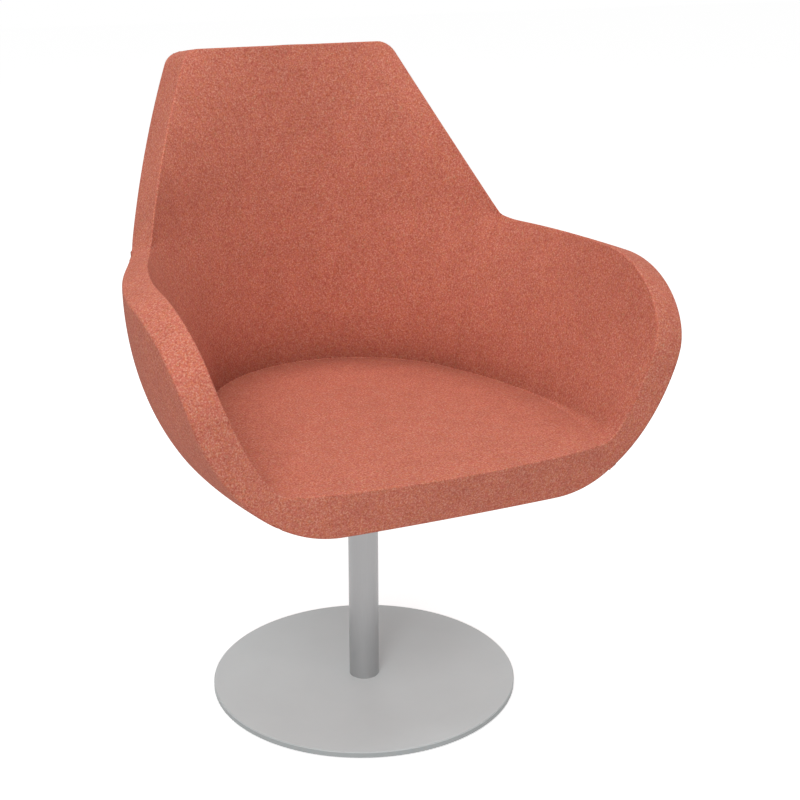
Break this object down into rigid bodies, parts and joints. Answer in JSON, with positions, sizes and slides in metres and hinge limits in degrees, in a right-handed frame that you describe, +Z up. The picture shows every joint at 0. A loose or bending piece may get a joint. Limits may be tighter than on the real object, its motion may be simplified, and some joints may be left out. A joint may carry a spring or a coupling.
{
  "type": "swivel armchair",
  "caption": "Pedestal swivel armchair: a tub shell with a high back and wrap-round arms, upholstered all over, that turns on a round column above a flat disc base.",
  "frame": {"origin": "centre of the base's underside, on the floor and on the column's axis", "axes": "+Z up along the column's axis, -Y towards the front of the chair, +X towards the sitter's left"},
  "size_m": [0.7184, 0.611, 0.9142],
  "materials": {
    "floor_pad": "matte",
    "base_disc": "satin",
    "column": "satin",
    "bush": "matte",
    "bearing_steel": "polished",
    "hardware": "satin",
    "mount_steel": "satin",
    "frame_steel": "satin",
    "board": "matte",
    "foam": "matte",
    "upholstery": "matte",
    "service_cover": "matte"
  },
  "bodies": {
    "base": {"floor_pad": "floor_pad", "base_plate": "base_disc", "foot_bolt": "hardware", "foot_plug": "hardware", "column_tube": "column", "lower_bush": "bush", "upper_bush": "bush", "lower_race": "bearing_steel"},
    "bearing_cage": {"ball_cage": "bearing_steel", "bearing_balls": "bearing_steel"},
    "seat": {"upper_race": "bearing_steel", "spindle": "hardware", "retaining_ring": "hardware", "keeper_washer": "hardware", "mount_bolt_1": "hardware", "mount_bolt_2": "hardware", "mount_bolt_3": "hardware", "mount_bolt_4": "hardware", "bolt_washer_1": "hardware", "bolt_washer_2": "hardware", "bolt_washer_3": "hardware", "bolt_washer_4": "hardware", "tee_nut_1": "hardware", "tee_nut_2": "hardware", "tee_nut_3": "hardware", "tee_nut_4": "hardware", "cover_screw_1": "hardware", "cover_screw_2": "hardware", "cover_screw_3": "hardware", "cover_screw_4": "hardware", "hub_boss": "mount_steel", "mount_plate": "mount_steel", "left_arm_hoop": "frame_steel", "right_arm_hoop": "frame_steel", "back_hoop": "frame_steel", "hoop_saddle_1": "frame_steel", "hoop_saddle_2": "frame_steel", "hoop_saddle_3": "frame_steel", "hoop_saddle_4": "frame_steel", "seat_board": "board", "left_arm_foam": "foam", "right_arm_foam": "foam", "back_foam": "foam", "seat_foam": "foam", "under_foam": "foam", "front_rail": "foam", "left_arm_lining": "upholstery", "left_arm_outside": "upholstery", "left_arm_band": "upholstery", "right_arm_lining": "upholstery", "right_arm_outside": "upholstery", "right_arm_band": "upholstery", "back_lining": "upholstery", "back_outside": "upholstery", "back_band": "upholstery", "seat_cover": "upholstery", "front_strip": "upholstery", "under_cover": "upholstery", "service_cover": "service_cover"}
  },
  "joints": [
    {"name": "seat_swivel", "type": "hinge", "parent": "base", "child": "seat", "pos_m": [0, 0, 0.35], "axis": [0, 0, 1], "continuous": true},
    {"name": "cage_turn", "type": "hinge", "parent": "base", "child": "bearing_cage", "pos_m": [0, 0, 0.348], "axis": [0, 0, 1], "continuous": true}
  ],
  "couplings": [
    {"joint": "cage_turn", "follows": "seat_swivel", "ratio": 0.5}
  ]
}
